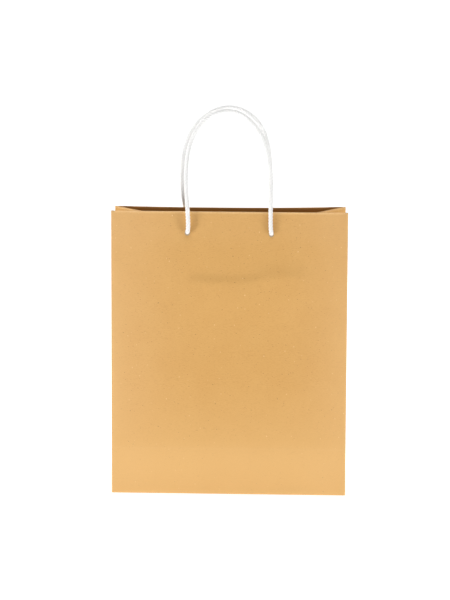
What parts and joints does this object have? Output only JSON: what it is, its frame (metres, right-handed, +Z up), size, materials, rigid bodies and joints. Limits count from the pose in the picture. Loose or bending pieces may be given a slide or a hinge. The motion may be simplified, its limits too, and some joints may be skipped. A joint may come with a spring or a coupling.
{
  "type": "gift bag",
  "caption": "Upright folded paper gift bag with a rectangular base, inward-folded side gussets, a turned-in rim and twisted cord loop handles on the front and back.",
  "frame": {"origin": "under the middle of the base, where the bag stands", "axes": "+Z up along the bag, +Y from the front panel towards the back panel, +X along the width to the right as seen from the front"},
  "size_m": [0.24, 0.1, 0.3931],
  "materials": {
    "kraft_paper": "uncoated brown kraft paper, faintly ribbed, matt",
    "card": "plain grey-brown board, matt",
    "handle_cord": "white twisted paper cord, three strands, soft sheen"
  },
  "bodies": {
    "base": {"base_back_flap": "kraft_paper", "base_front_flap": "kraft_paper", "base_left_flap": "kraft_paper", "base_right_flap": "kraft_paper", "base_card": "card"},
    "front_wall": {"front_panel": "kraft_paper", "front_rim_card": "card", "front_hem": "kraft_paper", "front_left_knot": "handle_cord", "front_right_knot": "handle_cord"},
    "back_wall": {"back_panel": "kraft_paper", "back_rim_card": "card", "back_hem": "kraft_paper", "back_left_knot": "handle_cord", "back_right_knot": "handle_cord", "side_seam_lap": "kraft_paper"},
    "left_front_outer": {"left_front_gusset_outer": "kraft_paper", "left_front_gusset_hem": "kraft_paper"},
    "left_front_inner": {"left_front_gusset_inner": "kraft_paper"},
    "left_back_outer": {"left_back_gusset_outer": "kraft_paper", "left_back_gusset_hem": "kraft_paper"},
    "left_back_inner": {"left_back_gusset_inner": "kraft_paper"},
    "right_front_outer": {"right_front_gusset_outer": "kraft_paper", "right_front_gusset_hem": "kraft_paper"},
    "right_front_inner": {"right_front_gusset_inner": "kraft_paper"},
    "right_back_outer": {"right_back_gusset_outer": "kraft_paper", "right_back_gusset_hem": "kraft_paper"},
    "right_back_inner": {"right_back_gusset_inner": "kraft_paper"},
    "front_handle": {"front_handle_cord": "handle_cord"},
    "back_handle": {"back_handle_cord": "handle_cord"}
  },
  "joints": [
    {"name": "mouth", "type": "hinge", "parent": "base", "child": "front_wall", "pos_m": [0, -0.05, 0], "axis": [-1, 0, 0], "range_deg": [-5.4, 2.5], "stiffness_Nm_per_rad": 1.2, "springref_deg": -0.34},
    {"name": "back_wall_lean", "type": "hinge", "parent": "base", "child": "back_wall", "pos_m": [0, 0.05, 0], "axis": [1, 0, 0], "range_deg": [-5.45, 2.55]},
    {"name": "left_front_fold", "type": "hinge", "parent": "front_wall", "child": "left_front_outer", "pos_m": [-0.1197, -0.04945, -0.00005], "axis": [0, -0.0948, -0.9955], "range_deg": [-35.06, 16.39]},
    {"name": "left_front_crease", "type": "hinge", "parent": "front_wall", "child": "left_front_inner", "pos_m": [-0.12, -0.05, 0], "axis": [0.7809, 0.6247, 0], "range_deg": [-7.01, 3.3]},
    {"name": "left_back_fold", "type": "hinge", "parent": "back_wall", "child": "left_back_outer", "pos_m": [-0.1197, 0.04945, -0.00005], "axis": [0, -0.0948, 0.9955], "range_deg": [-35.06, 16.39]},
    {"name": "left_back_crease", "type": "hinge", "parent": "back_wall", "child": "left_back_inner", "pos_m": [-0.12, 0.05, 0], "axis": [-0.7809, 0.6247, 0], "range_deg": [-7.01, 3.3]},
    {"name": "right_front_fold", "type": "hinge", "parent": "front_wall", "child": "right_front_outer", "pos_m": [0.1197, -0.04945, -0.00005], "axis": [0, 0.0948, 0.9955], "range_deg": [-35.06, 16.39]},
    {"name": "right_front_crease", "type": "hinge", "parent": "front_wall", "child": "right_front_inner", "pos_m": [0.12, -0.05, 0], "axis": [0.7809, -0.6247, 0], "range_deg": [-7.01, 3.3]},
    {"name": "right_back_fold", "type": "hinge", "parent": "back_wall", "child": "right_back_outer", "pos_m": [0.1197, 0.04945, -0.00005], "axis": [0, 0.0948, -0.9955], "range_deg": [-35.06, 16.39]},
    {"name": "right_back_crease", "type": "hinge", "parent": "back_wall", "child": "right_back_inner", "pos_m": [0.12, 0.05, 0], "axis": [-0.7809, -0.6247, 0], "range_deg": [-7.01, 3.3]},
    {"name": "front_handle_swing", "type": "hinge", "parent": "front_wall", "child": "front_handle", "pos_m": [0, -0.02688, 0.26701], "axis": [1, 0, 0], "range_deg": [0, 172]},
    {"name": "back_handle_swing", "type": "hinge", "parent": "back_wall", "child": "back_handle", "pos_m": [0, 0.02688, 0.26701], "axis": [-1, 0, 0], "range_deg": [0, 172]}
  ],
  "couplings": [
    {"joint": "back_wall_lean", "follows": "mouth", "ratio": 1},
    {"joint": "left_front_fold", "follows": "mouth", "ratio": 6.4376},
    {"joint": "left_front_crease", "follows": "mouth", "ratio": 1.2806},
    {"joint": "left_back_fold", "follows": "mouth", "ratio": 6.4376},
    {"joint": "left_back_crease", "follows": "mouth", "ratio": 1.2806},
    {"joint": "right_front_fold", "follows": "mouth", "ratio": 6.4376},
    {"joint": "right_front_crease", "follows": "mouth", "ratio": 1.2806},
    {"joint": "right_back_fold", "follows": "mouth", "ratio": 6.4376},
    {"joint": "right_back_crease", "follows": "mouth", "ratio": 1.2806}
  ]
}
